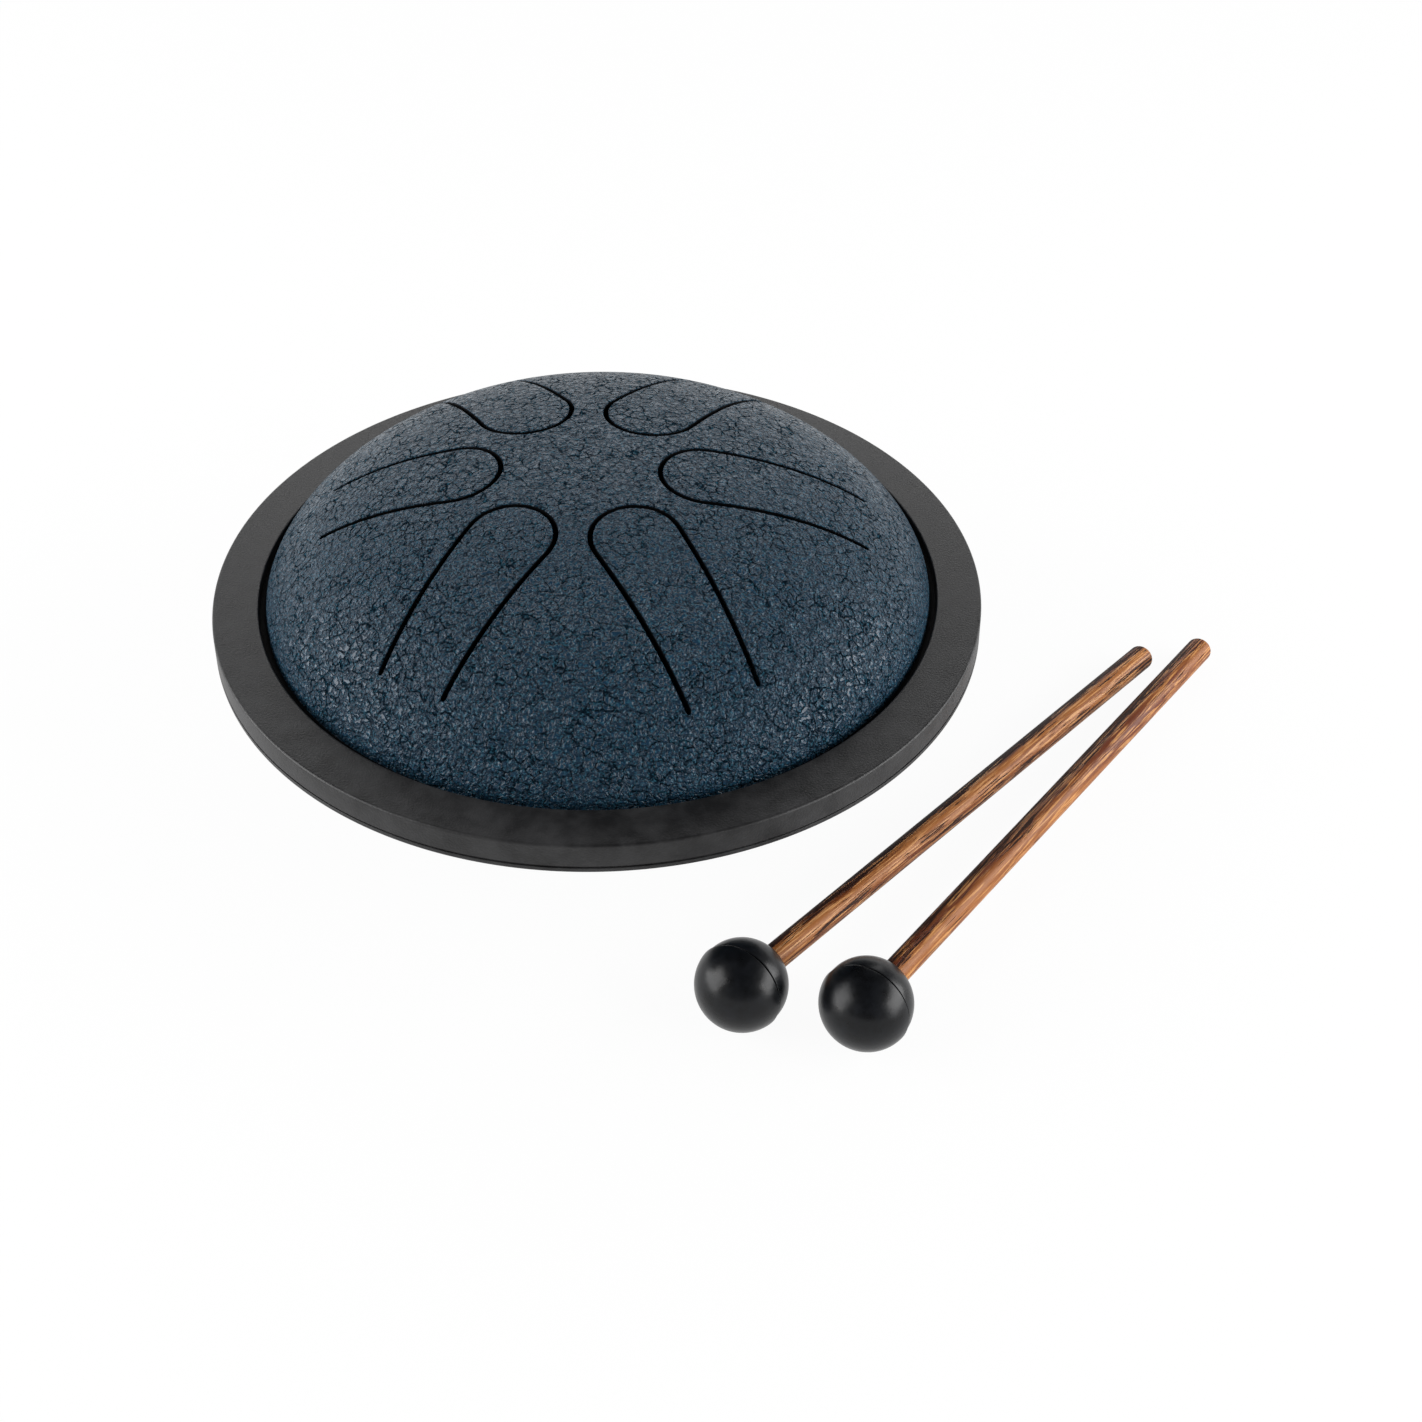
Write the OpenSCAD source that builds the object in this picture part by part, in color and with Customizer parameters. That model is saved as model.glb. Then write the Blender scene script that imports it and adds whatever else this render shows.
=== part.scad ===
// Steel tongue drum, two pressed shells gripped by a rubber rim, with a pair of mallets beside it.
// Millimetres, +Z up. The origin is on the drum's axis, on the surface that the drum stands on.
// The mallets lie on that surface, to the right of the drum as its player sees it from -Y.

/* [Shells] */
// Outside radius of each shell's upright wall
wall_r = 77.8; // [70:0.1:95]
// Rise of the dome above its upright wall
dome_rise = 31.4; // [24:0.1:45]
// Height of the upright wall above the face where the two shells meet
wall_h = 3.7; // [3:0.1:8]
// Thickness of the pressed steel
steel_t = 1.2; // [0.8:0.1:1.6]
// Power of the dome's curve over its crown: 2 is an ellipse, and more is flatter
crown_power = 2.6; // [2:0.05:3.5]
// Power of the dome's curve at its shoulder: 0.5 is an ellipse, and more is softer
shoulder_power = 0.7; // [0.5:0.05:0.9]
// Width of the flat flange outside the bend
flange_w = 7.4; // [4:0.1:8.5]
// Inside radius of the bend between wall and flange
bend_r = 1.2; // [0.6:0.1:1.6]
// Radius of the sound hole in the bottom shell
sound_hole_r = 15; // [10:0.5:28]

/* [Tongues] */
// How many tongues are cut
tongue_count = 6; // [4:1:6]
// Direction of the first tongue, seen from above
first_tongue_angle = -124.8; // [-180:0.1:180]
// Distance from the pattern's centre to the largest tongue's free end
tip_gap = 19; // [14:0.1:24]
// Radius of the largest tongue's round free end
tip_round_r = 10.9; // [8:0.1:11.5]
// Half the widest tongue's width at its root, where the slits end
root_half_w = 9.5; // [5:0.1:10]
// Solid steel left between the wall's radius and the root of the longest tongue
root_margin = 10.8; // [8:0.1:20]
// Share of the largest free end that each tongue has, because each sounds its own note
tip_size_shares = [0.92, 0.912, 0.94, 0.99, 1, 0.95];
// Share of the widest root that each tongue has
root_width_shares = [0.86, 0.865, 0.955, 1, 0.99, 0.95];
// Share of the longest tongue's reach that each tongue has
root_reach_shares = [0.945, 0.985, 0.965, 1, 0.995, 0.87];
// Width of the cut slit
slit_w = 1.2; // [0.6:0.1:2]
// Sideways place of the pattern's centre, which is cut a little off the dome's crown
pattern_x = -3.7; // [-5:0.1:5]
// Lengthways place of the pattern's centre
pattern_y = -2.5; // [-5:0.1:5]

/* [Rim ring] */
// Width of the rubber outside the slot that holds the flanges
ring_outer_w = 3.3; // [1.8:0.1:6]
// Height of the rubber rim
ring_h = 7.4; // [6:0.1:12]
// Gap between the dome's wall and the rim's lip
lip_gap = 1.8; // [1:0.1:3]
// How far the rim's wall leans outwards from its top to its underside
ring_flare = 0.4; // [0:0.1:1]
// Rounding of the rim's outer edges
ring_edge_r = 0.6; // [0.2:0.1:1]
// Rounding of the lips beside the dome
lip_edge_r = 0.4; // [0.1:0.1:0.8]
// Height of the mould groove above the rim's underside
groove_z = 1.3; // [1:0.1:1.6]
// Width of the mould groove
groove_w = 0.5; // [0.3:0.1:0.8]
// Depth of the mould groove
groove_d = 0.4; // [0.2:0.1:0.8]

/* [Feet] */
// Height of the bottom shell above the surface that the drum stands on
ground_gap = 6.2; // [4:0.1:12]
// Distance from the drum's axis to the middle of each foot
foot_circle_r = 42; // [34:0.5:55]
// Radius of a foot at its sole
foot_r = 7; // [5:0.1:9]
// Rounding of the sole's edge
foot_edge_r = 1; // [0.4:0.1:2]
// Draft of a foot's side, in degrees
foot_draft = 6; // [0:0.5:10]

/* [Mallets] */
// Radius of the rubber ball
ball_r = 10.1; // [8:0.1:14]
// Step at the ball's moulding seam
seam_step = 0.3; // [0.1:0.05:0.6]
// Distance of the seam from the ball's centre, away from the stick
seam_back = 1.2; // [0.2:0.1:2]
// Angle by which the seam's plane leans from square to the stick
seam_tilt = 11; // [4:1:20]
// Direction of that lean, round the stick
seam_turn = -43; // [-90:1:-10]
// How far the stick's socket runs past the ball's centre
socket_past = 5; // [2:0.1:6]
// Radius of the stick at the ball
stick_head_r = 3; // [2:0.05:3.5]
// Radius of the stick at its tail
stick_tail_r = 3.25; // [2:0.05:4]
// Distance from the ball's centre to the stick's tail
stick_reach = 160; // [110:0.5:200]
// Rounding of the tail's edge
tail_round_r = 1.5; // [0.5:0.1:1.9]
// Place of the left ball's centre along X
left_ball_x = 26.7; // [20:0.1:60]
// Place of the left ball's centre along Y
left_ball_y = -97.6; // [-130:0.1:-97]
// Direction in which the left stick points, seen from above
left_heading = 43.6; // [35:0.1:50]
// Place of the right ball's centre along X
right_ball_x = 52.2; // [50:0.1:90]
// Place of the right ball's centre along Y
right_ball_y = -104; // [-140:0.1:-100]
// Direction in which the right stick points, seen from above
right_heading = 48.2; // [35:0.1:50]

/* [Hidden] */

// Facets round a full turn
$fn = 96;
// Film of glue between a foot and the shell, and round a stick in its ball
glue_gap = 0.1;
// Play between the flanges' edge and the bottom of the rim's slot
slot_play = 0.3;
// How far a cut runs past what it cuts
overrun = 2;
// Stations along the dome's curve, from crown to wall
dome_steps = 28;
// Stations along the bend between wall and flange
bend_steps = 5;
// Stations along a rounded edge
edge_steps = 4;
// Stations along a slit's turn round the tongue's tip
tip_steps = 20;
// Stations round a slit's closed end
cap_steps = 4;
// Stations along each half of a ball
ball_steps = 16;
// Share of the dome's rise that a foot's blank reaches before the shell trims it
foot_blank_share = 0.5;

flange_r = wall_r + bend_r + flange_w;
slot_r = flange_r + slot_play;
ring_r = slot_r + ring_outer_w;
ring_lip_r = wall_r + lip_gap;
joint_z = ground_gap + dome_rise + wall_h;
tongue_step = 360 / tongue_count;
root_reach = wall_r - root_margin;
// The seam's lean brings the stick's half of a ball underneath, so a laid mallet rests on that half
stick_half_r = ball_r - seam_step;
socket_r = stick_head_r + glue_gap;
// The tail's rounding starts here, measured from the ball's centre
tail_turn_x = stick_reach - tail_round_r;
tail_core_r = stick_tail_r - tail_round_r;
// The stick leans so that both the ball and the tail's edge touch the surface
rest_drop = stick_half_r - tail_round_r;
mallet_lean = asin(rest_drop / norm([tail_turn_x, tail_core_r])) - atan2(tail_core_r, tail_turn_x);

function reversed(points) = [for (i = [len(points) - 1:-1:0]) points[i]];

// Points of an arc about a centre, from angle a to angle b
function arc(centre, r, a, b, steps) =
    [for (i = [0:steps]) let (t = a + (b - a) * i / steps) centre + r * [cos(t), sin(t)]];

// Half section of a dome that springs from the upright wall's top edge
function dome_curve(r, rise) =
    [for (i = [0:dome_steps]) let (s = sin(90 * i / dome_steps))
        [r * s, wall_h + rise * pow(1 - pow(s, crown_power), shoulder_power)]];

// Half section of one pressed shell: dome, wall, bend and flange, with the joint face at zero
function shell_section() =
    let (bend = [wall_r + bend_r, steel_t + bend_r])
    concat(
        dome_curve(wall_r, dome_rise),
        arc(bend, bend_r, 180, 270, bend_steps),
        [[flange_r, steel_t], [flange_r, 0]],
        arc(bend, bend_r + steel_t, 270, 180, bend_steps),
        reversed(dome_curve(wall_r - steel_t, dome_rise - steel_t))
    );

// Both shells come from this one pressing
module shell_blank() {
    rotate_extrude()
        polygon(shell_section());
}

// The space inside the bottom shell's outer skin, standing off it by a film of glue
module bottom_skin() {
    translate([0, 0, joint_z])
        mirror([0, 0, 1])
            rotate_extrude()
                polygon(concat(
                    dome_curve(wall_r + glue_gap, dome_rise + glue_gap),
                    [[wall_r + glue_gap, 0], [0, 0]]
                ));
}

// Plan of one slit: two legs drawn out from a round end that points at the pattern's centre
function slit_plan(tip_share, half_w, reach) =
    let (
        round_r = tip_round_r * tip_share,
        tip = [tip_gap * tip_share + round_r, 0],
        root = [reach, half_w],
        leg = root - tip,
        turn = atan2(leg.y, leg.x) + acos(round_r / norm(leg)),
        far_root = [reach, -half_w]
    )
    concat(
        arc(root, slit_w / 2, turn - 180, turn, cap_steps),
        arc(tip, round_r + slit_w / 2, turn, 360 - turn, tip_steps),
        arc(far_root, slit_w / 2, -turn, 180 - turn, cap_steps),
        arc(tip, round_r - slit_w / 2, 360 - turn, turn, tip_steps)
    );

module tongue_slits() {
    for (i = [0:tongue_count - 1])
        translate([pattern_x, pattern_y, wall_h])
            rotate(first_tongue_angle + i * tongue_step)
                linear_extrude(dome_rise + overrun)
                    polygon(slit_plan(
                        tip_size_shares[i],
                        root_half_w * root_width_shares[i],
                        root_reach * root_reach_shares[i]
                    ));
}

module top_shell() {
    color("#24384c")
        translate([0, 0, joint_z])
            difference() {
                shell_blank();
                tongue_slits();
            }
}

module bottom_shell() {
    color("#24384c")
        translate([0, 0, joint_z])
            mirror([0, 0, 1])
                difference() {
                    shell_blank();
                    translate([0, 0, wall_h])
                        cylinder(r = sound_hole_r, h = dome_rise + overrun);
                }
}

// Radius of the rim's leaning wall at a height above the joint face
function ring_wall_r(z) = ring_r + ring_flare * (ring_h / 2 - z) / ring_h;

// Half section of the rim: rounded outside, a mould groove low on its wall, a slot for both flanges
function ring_section() =
    let (
        top = ring_h / 2,
        edge_z = top - ring_edge_r,
        groove = groove_z - top,
        groove_top = groove + groove_w
    )
    concat(
        arc([ring_lip_r + lip_edge_r, top - lip_edge_r], lip_edge_r, 180, 90, edge_steps),
        arc([ring_wall_r(edge_z) - ring_edge_r, edge_z], ring_edge_r, 90, 0, edge_steps),
        [
            [ring_wall_r(groove_top), groove_top], [ring_wall_r(groove_top) - groove_d, groove_top],
            [ring_wall_r(groove) - groove_d, groove], [ring_wall_r(groove), groove]
        ],
        arc([ring_wall_r(-edge_z) - ring_edge_r, -edge_z], ring_edge_r, 0, -90, edge_steps),
        arc([ring_lip_r + lip_edge_r, lip_edge_r - top], lip_edge_r, 270, 180, edge_steps),
        [[ring_lip_r, -steel_t], [slot_r, -steel_t], [slot_r, steel_t], [ring_lip_r, steel_t]]
    );

module rim_ring() {
    color("#3c3c3d")
        translate([0, 0, joint_z])
            rotate_extrude()
                polygon(ring_section());
}

// A rubber foot whose top follows the domed shell that it is glued to
module foot(angle) {
    blank_h = ground_gap + dome_rise * foot_blank_share;
    color("#232324")
        difference() {
            rotate(angle)
                translate([foot_circle_r, 0, 0])
                    rotate_extrude()
                        polygon(concat(
                            [[0, 0]],
                            arc([foot_r - foot_edge_r, foot_edge_r], foot_edge_r, -90, 0, edge_steps),
                            [[foot_r + blank_h * tan(foot_draft), blank_h], [0, blank_h]]
                        ));
            bottom_skin();
        }
}

module foot_front() {
    foot(-90);
}

module foot_back_left() {
    foot(150);
}

module foot_back_right() {
    foot(30);
}

// Lays a mallet down: its ball's centre at the origin and its stick along +X
module lay_mallet(x, y, heading) {
    translate([x, y, stick_half_r])
        rotate([0, mallet_lean, heading])
            children();
}

// A turned stick, straight in its socket and thicker towards the tail
module stick() {
    head_x = glue_gap - socket_past;
    color("#a9673a")
        rotate([0, 90, 0])
            rotate_extrude()
                polygon(concat(
                    [[0, head_x], [stick_head_r, head_x], [stick_head_r, ball_r]],
                    arc([tail_core_r, tail_turn_x], tail_round_r, 0, 90, edge_steps),
                    [[0, stick_reach]]
                ));
}

// Half section of a ball moulded in two halves: the striking half stands a step proud of the stick's half
function ball_section() =
    concat(
        arc([0, 0], ball_r, -90, -asin(seam_back / ball_r), ball_steps),
        arc([0, 0], stick_half_r, -asin(seam_back / stick_half_r), 90, ball_steps)
    );

// The ball's halves are turned round the seam's leaning axis, and its socket is bored along the stick
module ball() {
    color("#1c1d1f")
        difference() {
            rotate([seam_turn, 0, 0])
                rotate([0, 90, seam_tilt])
                    rotate_extrude()
                        polygon(ball_section());
            translate([-socket_past, 0, 0])
                rotate([0, 90, 0])
                    cylinder(r = socket_r, h = socket_past + ball_r);
        }
}

module mallet_left_stick() {
    lay_mallet(left_ball_x, left_ball_y, left_heading)
        stick();
}

module mallet_left_ball() {
    lay_mallet(left_ball_x, left_ball_y, left_heading)
        ball();
}

module mallet_right_stick() {
    lay_mallet(right_ball_x, right_ball_y, right_heading)
        stick();
}

module mallet_right_ball() {
    lay_mallet(right_ball_x, right_ball_y, right_heading)
        ball();
}

top_shell();
bottom_shell();
rim_ring();
foot_front();
foot_back_left();
foot_back_right();
mallet_left_stick();
mallet_left_ball();
mallet_right_stick();
mallet_right_ball();
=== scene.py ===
# %% [markdown]
# A steel tongue drum and its two mallets
#
# The drum is two pressed steel domes that meet at a flange, and a moulded rubber ring holds the flange.
# Six tongues are cut in the upper dome, and each sounds one note when a mallet strikes it.
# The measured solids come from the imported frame. This script dresses them: it builds smooth detailed meshes
# in their places, gives each one a finish that starts from what the real surface is, and lights them softly.

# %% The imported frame
import math

import bmesh
import bpy
import numpy as np
from mathutils import Euler, Matrix, Vector
from mathutils.geometry import delaunay_2d_cdt


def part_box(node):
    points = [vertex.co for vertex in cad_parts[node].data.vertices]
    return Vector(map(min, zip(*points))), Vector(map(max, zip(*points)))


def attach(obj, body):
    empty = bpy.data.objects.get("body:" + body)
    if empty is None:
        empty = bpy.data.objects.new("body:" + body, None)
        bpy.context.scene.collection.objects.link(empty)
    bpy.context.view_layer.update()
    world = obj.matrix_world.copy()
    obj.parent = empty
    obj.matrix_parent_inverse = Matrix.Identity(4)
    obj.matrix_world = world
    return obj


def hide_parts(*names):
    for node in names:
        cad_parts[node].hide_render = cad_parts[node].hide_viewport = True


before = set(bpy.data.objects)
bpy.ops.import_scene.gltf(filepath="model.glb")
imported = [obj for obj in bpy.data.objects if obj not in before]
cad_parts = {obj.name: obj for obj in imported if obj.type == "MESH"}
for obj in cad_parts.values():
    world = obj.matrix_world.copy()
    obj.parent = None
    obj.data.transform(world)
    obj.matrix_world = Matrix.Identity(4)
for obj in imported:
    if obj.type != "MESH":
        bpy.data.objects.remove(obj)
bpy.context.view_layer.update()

MM = 0.001

# %% [markdown]
# The sizes below are the ones that the solids were made from. They are repeated here in millimetres,
# because the script reads nothing but the frame. Each piece is measured against its solid when it is made.

# %% Sizes of the shells and the rim, in millimetres
WALL_R, DOME_RISE, WALL_H, STEEL_T = 77.8, 31.4, 3.7, 1.2
CROWN_POWER, SHOULDER_POWER = 2.6, 0.7
BEND_R, FLANGE_W, FLANGE_EDGE_R, SOUND_HOLE_R = 1.2, 7.4, 0.3, 15.0
GROUND_GAP, GLUE = 6.2, 0.1
SLOT_GAP, LIP_GAP, RING_OUTER_W, RING_H, RING_FLARE = 0.3, 1.8, 3.3, 7.4, 0.4
JOINT_Z = GROUND_GAP + DOME_RISE + WALL_H
FLANGE_R = WALL_R + BEND_R + FLANGE_W
SLOT_R = FLANGE_R + SLOT_GAP
RING_R, RING_LIP_R = SLOT_R + RING_OUTER_W, WALL_R + LIP_GAP
print(f"joint plane at {JOINT_Z:.1f} mm, rim {2 * RING_R:.1f} mm across")

# %% [markdown]
# The camera stands where the photograph's camera stood, in front of the drum and about 37 degrees above it.
# Its place, its aim and its lens were fitted to the rim's outline, so the render lies over the photograph.

# %% Camera
IMAGE_PIXELS, FOCAL_PIXELS, SENSOR_MM = 1422, 1707.4, 36.0
LOOK_AT = Vector((0, 0, 45.0)) * MM
CAMERA_DISTANCE = 407.85 * MM
ELEVATION, PAN, TILT, ROLL = (math.radians(a) for a in (36.923, 3.540, -4.748, 1.242))

eye = LOOK_AT + CAMERA_DISTANCE * Vector((0, -math.cos(ELEVATION), math.sin(ELEVATION)))
straight = (LOOK_AT - eye).normalized()
across = Vector((1, 0, 0))
aim = straight * math.cos(TILT) * math.cos(PAN) + across * math.sin(PAN)
aim = (aim + across.cross(straight) * math.sin(TILT) * math.cos(PAN)).normalized()
level = aim.cross(Vector((0, 0, 1))).normalized()
upward = level.cross(aim)
right = level * math.cos(ROLL) + upward * math.sin(ROLL)
top = upward * math.cos(ROLL) - level * math.sin(ROLL)

camera_data = bpy.data.cameras.new("studio_camera")
camera_data.sensor_width = SENSOR_MM
camera_data.lens = SENSOR_MM * FOCAL_PIXELS / IMAGE_PIXELS
camera_data.clip_start, camera_data.clip_end = 0.01, 50
camera = bpy.data.objects.new("studio_camera", camera_data)
camera.matrix_world = Matrix((right, top, -aim)).transposed().to_4x4()
camera.location = eye
bpy.context.scene.collection.objects.link(camera)
bpy.context.scene.camera = camera
bpy.context.scene.view_settings.view_transform = "Standard"
print(f"lens {camera_data.lens:.2f} mm, eye at {tuple(round(v, 3) for v in eye)}")

# %% [markdown]
# A material is a small network of nodes. Colours are written as they look on a screen, as sRGB hex,
# and one function turns them to the linear numbers that light is counted in.
# One more function adds a node, sets its properties and fills or links its inputs.

# %% Colour and node helpers
def linear(screen_colour):
    """The linear colour for an sRGB hex colour such as #24384c."""
    channels = []
    for start in (1, 3, 5):
        value = int(screen_colour[start:start + 2], 16) / 255
        channels.append(value / 12.92 if value <= 0.04045 else ((value + 0.055) / 1.055) ** 2.4)
    return (*channels, 1.0)


def add(tree, kind, inputs=None, out=0, **settings):
    """Adds a shader node and gives one of its outputs. It links an input that is a socket, or sets it."""
    node = tree.nodes.new("ShaderNode" + kind)
    for name, value in settings.items():
        setattr(node, name, value)
    for name, value in (inputs or {}).items():
        if isinstance(value, bpy.types.NodeSocket):
            tree.links.new(value, node.inputs[name])
        else:
            node.inputs[name].default_value = value
    return node.outputs[out] if node.outputs else None


def start_material(name):
    """An empty material and its node tree."""
    material = bpy.data.materials.new(name)
    material.use_nodes = True
    material.node_tree.nodes.clear()
    return material, material.node_tree


def per_mm(size):
    """The texture scale at which one cell or wave is this many millimetres wide."""
    return 1 / (size * MM)


# %% [markdown]
# The shells are pressed steel under a wrinkle powder coat. The powder skins over in the oven before it has
# set below, and the skin shrinks into small plump cells with sharp creases between them, like leather.
# The cells are 2 to 4 mm wide here. A cell texture that measures the distance to its edges gives the creases,
# and warping its coordinates makes them wander. In patches some millimetres wide the creases run shallow.
# Finer wrinkles wind over the cells like worms: they are the lines where a noise crosses its middle value.
# The real ones lie under a millimetre apart and are drawn a little coarser, because they would not show.
# All of it is steep. The ridges are satin and the creases rougher. A bump casts no shadow, so the creases
# are painted in shade: their colour darkens, and the coat's share of gloss, its specular level, which is
# low, falls to nothing in them. The grit's high points take a lighter teal colour, a painted sheen.
# Where low light meets the dome, it shows as grey glints.

# %% Wrinkle powder coat
CELL_MM, WRINKLE_MM, GRIT_MM, PATCH_MM = 2.7, 1.3, 0.5, 7.0
WARP_MM, WARP_REACH_MM, COAT_RELIEF_MM = 1.7, 1.6, 0.8
CELL_SHARE, WRINKLE_SHARE, GRIT_SHARE = 0.48, 0.38, 0.14
CREASE_W, WRINKLE_W = 0.10, 0.16


def wrinkle_coat(name, body_colour, ridge_sheen_colour, crease_shade_colour):
    material, tree = start_material(name)
    place = add(tree, "TexCoord", out="Object")
    sway = add(tree, "TexNoise", {"Vector": place, "Scale": per_mm(WARP_MM), "Detail": 2.0}, out="Color")
    sway = add(tree, "VectorMath", {0: sway, 1: (0.5, 0.5, 0.5)}, operation="SUBTRACT")
    sway = add(tree, "VectorMath", {0: sway, "Scale": WARP_REACH_MM * MM}, operation="SCALE")
    warped = add(tree, "VectorMath", {0: place, 1: sway}, operation="ADD")

    cells = add(tree, "TexVoronoi", {"Vector": warped, "Scale": per_mm(CELL_MM)}, feature="DISTANCE_TO_EDGE")
    cells = add(tree, "MapRange", {"Value": cells, "From Max": CREASE_W}, interpolation_type="SMOOTHSTEP")
    patch = add(tree, "TexNoise", {"Vector": place, "Scale": per_mm(PATCH_MM), "Detail": 2.0})
    shallow = add(tree, "MapRange", {
        "Value": patch, "From Min": 0.64, "From Max": 0.38, "To Min": 0.1, "To Max": 0.7,
    })
    cells = add(tree, "Math", {0: cells, 1: shallow}, operation="MAXIMUM")
    fine = add(tree, "TexNoise", {"Vector": warped, "Scale": per_mm(WRINKLE_MM), "Detail": 1.0})
    fine = add(tree, "Math", {0: fine, 1: 0.5}, operation="SUBTRACT")
    fine = add(tree, "Math", {0: fine}, operation="ABSOLUTE")
    fine = add(tree, "MapRange", {"Value": fine, "From Max": WRINKLE_W}, interpolation_type="SMOOTHSTEP")
    grit = add(tree, "TexNoise", {"Vector": place, "Scale": per_mm(GRIT_MM), "Detail": 2.0})

    relief = add(tree, "Math", {0: cells, 1: CELL_SHARE}, operation="MULTIPLY")
    relief = add(tree, "Math", {0: fine, 1: WRINKLE_SHARE, 2: relief}, operation="MULTIPLY_ADD")
    relief = add(tree, "Math", {0: grit, 1: GRIT_SHARE, 2: relief}, operation="MULTIPLY_ADD")
    bump = add(tree, "Bump", {"Height": relief, "Distance": COAT_RELIEF_MM * MM, "Strength": 1.0})

    # Painted shade: towards the creases and wrinkles the colour darkens to the crease shade colour and the
    # specular level falls to nothing.
    shade = add(tree, "Math", {0: fine, 1: 0.6, 2: cells}, operation="MULTIPLY_ADD")
    shade = add(tree, "MapRange", {"Value": shade, "From Min": 0.45, "From Max": 1.5})
    skin = add(tree, "MixRGB", {"Fac": shade, "Color1": linear(crease_shade_colour), "Color2": linear(body_colour)})
    # Painted sheen: the grit's high points take the lighter teal ridge colour.
    ridge_sheen = add(tree, "MapRange", {"Value": grit, "From Min": 0.50, "From Max": 0.75})
    skin = add(tree, "MixRGB", {"Fac": ridge_sheen, "Color1": skin, "Color2": linear(ridge_sheen_colour)})
    gloss = add(tree, "MapRange", {"Value": shade, "To Min": 0.6, "To Max": 0.26})
    shine = add(tree, "MapRange", {"Value": shade, "To Min": 0.0, "To Max": 0.30})

    coat = add(tree, "BsdfPrincipled", {
        "Base Color": skin, "Roughness": gloss, "IOR": 1.5, "Specular IOR Level": shine, "Normal": bump,
    })
    add(tree, "OutputMaterial", {"Surface": coat})
    return material


# Its colours: the body, a lighter teal painted sheen on the ridges, and a near-black painted shade in the
# creases.
navy_coat = wrinkle_coat("wrinkle_powder_coated_steel", "#122b3e", "#2b5466", "#08141d")
print("coat cells", CELL_MM, "mm, wrinkles", WRINKLE_MM, "mm, relief", COAT_RELIEF_MM, "mm")

# %% [markdown]
# The cut walls of the slits, and the flange from the wall's foot on, take a near-black steel finish, dull
# and faintly striped across the cut. In the slits it is partly the thin black oxide that the hot laser left
# and partly painted shade, for the dark inside a cut a millimetre wide. On the flange under the clamp it is
# painted shade, for the dark gap under the rim.

# %% Black oxide and painted shade
STRIPE_MM, STRIPE_STRETCH, STRIPE_DEEP_MM = 0.35, 0.2, 0.03


def oxide_and_painted_shade():
    material, tree = start_material("dark_cut_steel_and_painted_shade")
    place = add(tree, "TexCoord", out="Object")
    upright = add(tree, "Mapping", {"Vector": place, "Scale": (1, 1, STRIPE_STRETCH)})
    stripes = add(tree, "TexNoise", {"Vector": upright, "Scale": per_mm(STRIPE_MM), "Detail": 2.0})
    film = add(tree, "MixRGB", {"Fac": stripes, "Color1": linear("#040507"), "Color2": linear("#0c0d10")})
    bump = add(tree, "Bump", {"Height": stripes, "Distance": STRIPE_DEEP_MM * MM, "Strength": 1.0})
    surface = add(tree, "BsdfPrincipled", {
        "Base Color": film, "Roughness": 0.7, "IOR": 1.5, "Specular IOR Level": 0.1, "Normal": bump,
    })
    add(tree, "OutputMaterial", {"Surface": surface})
    return material


oxide_and_shade_film = oxide_and_painted_shade()
print("bare steel:", oxide_and_shade_film.name)

# %% [markdown]
# The rim and the feet are moulded rubber with carbon black in it. It leaves the mould satin and nearly black,
# with a fine grain from the mould and soft cloudy patches where the surface bloomed: about 7 mm wide on the
# rim and twice that on the feet. The mallets' balls are a harder black rubber from a smoother mould, so they
# show soft highlights. Rubber reflects less than its IOR says, because its surface is porous, and the clouds
# are a little duller than the rest: that is the specular level, and the roughness that follows the cloud.

# %% Moulded rubber
CLOUD_DULLS = 0.08


def moulded_rubber(name, colour, cloud_colour, roughness, level, grain_mm, grain_deep_mm, cloud_mm):
    material, tree = start_material(name)
    place = add(tree, "TexCoord", out="Object")
    cloud = add(tree, "TexNoise", {
        "Vector": place, "Scale": per_mm(cloud_mm), "Detail": 4.0, "Roughness": 0.6,
    })
    cloud = add(tree, "MapRange", {"Value": cloud, "From Min": 0.35, "From Max": 0.68})
    bloom = add(tree, "MixRGB", {"Fac": cloud, "Color1": linear(colour), "Color2": linear(cloud_colour)})
    grain = add(tree, "TexNoise", {"Vector": place, "Scale": per_mm(grain_mm), "Detail": 3.0})
    bump = add(tree, "Bump", {"Height": grain, "Distance": grain_deep_mm * MM, "Strength": 1.0})
    shine = add(tree, "MapRange", {"Value": cloud, "To Min": roughness, "To Max": roughness + CLOUD_DULLS})
    rubber = add(tree, "BsdfPrincipled", {
        "Base Color": bloom, "Roughness": shine, "IOR": 1.52, "Specular IOR Level": level, "Normal": bump,
    })
    add(tree, "OutputMaterial", {"Surface": rubber})
    return material


rim_rubber = moulded_rubber(
    "moulded_rim_rubber", "#141415", "#2c2c2d", roughness=0.40, level=0.30,
    grain_mm=0.5, grain_deep_mm=0.09, cloud_mm=7.0,
)
foot_rubber = moulded_rubber(
    "moulded_foot_rubber", "#1c1c1d", "#262627", roughness=0.50, level=0.5,
    grain_mm=0.4, grain_deep_mm=0.02, cloud_mm=14.0,
)
ball_rubber = moulded_rubber(
    "moulded_ball_rubber", "#060709", "#101216", roughness=0.27, level=0.23,
    grain_mm=1.2, grain_deep_mm=0.03, cloud_mm=3.0,
)
print("rubbers:", rim_rubber.name, foot_rubber.name, ball_rubber.name)

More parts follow.
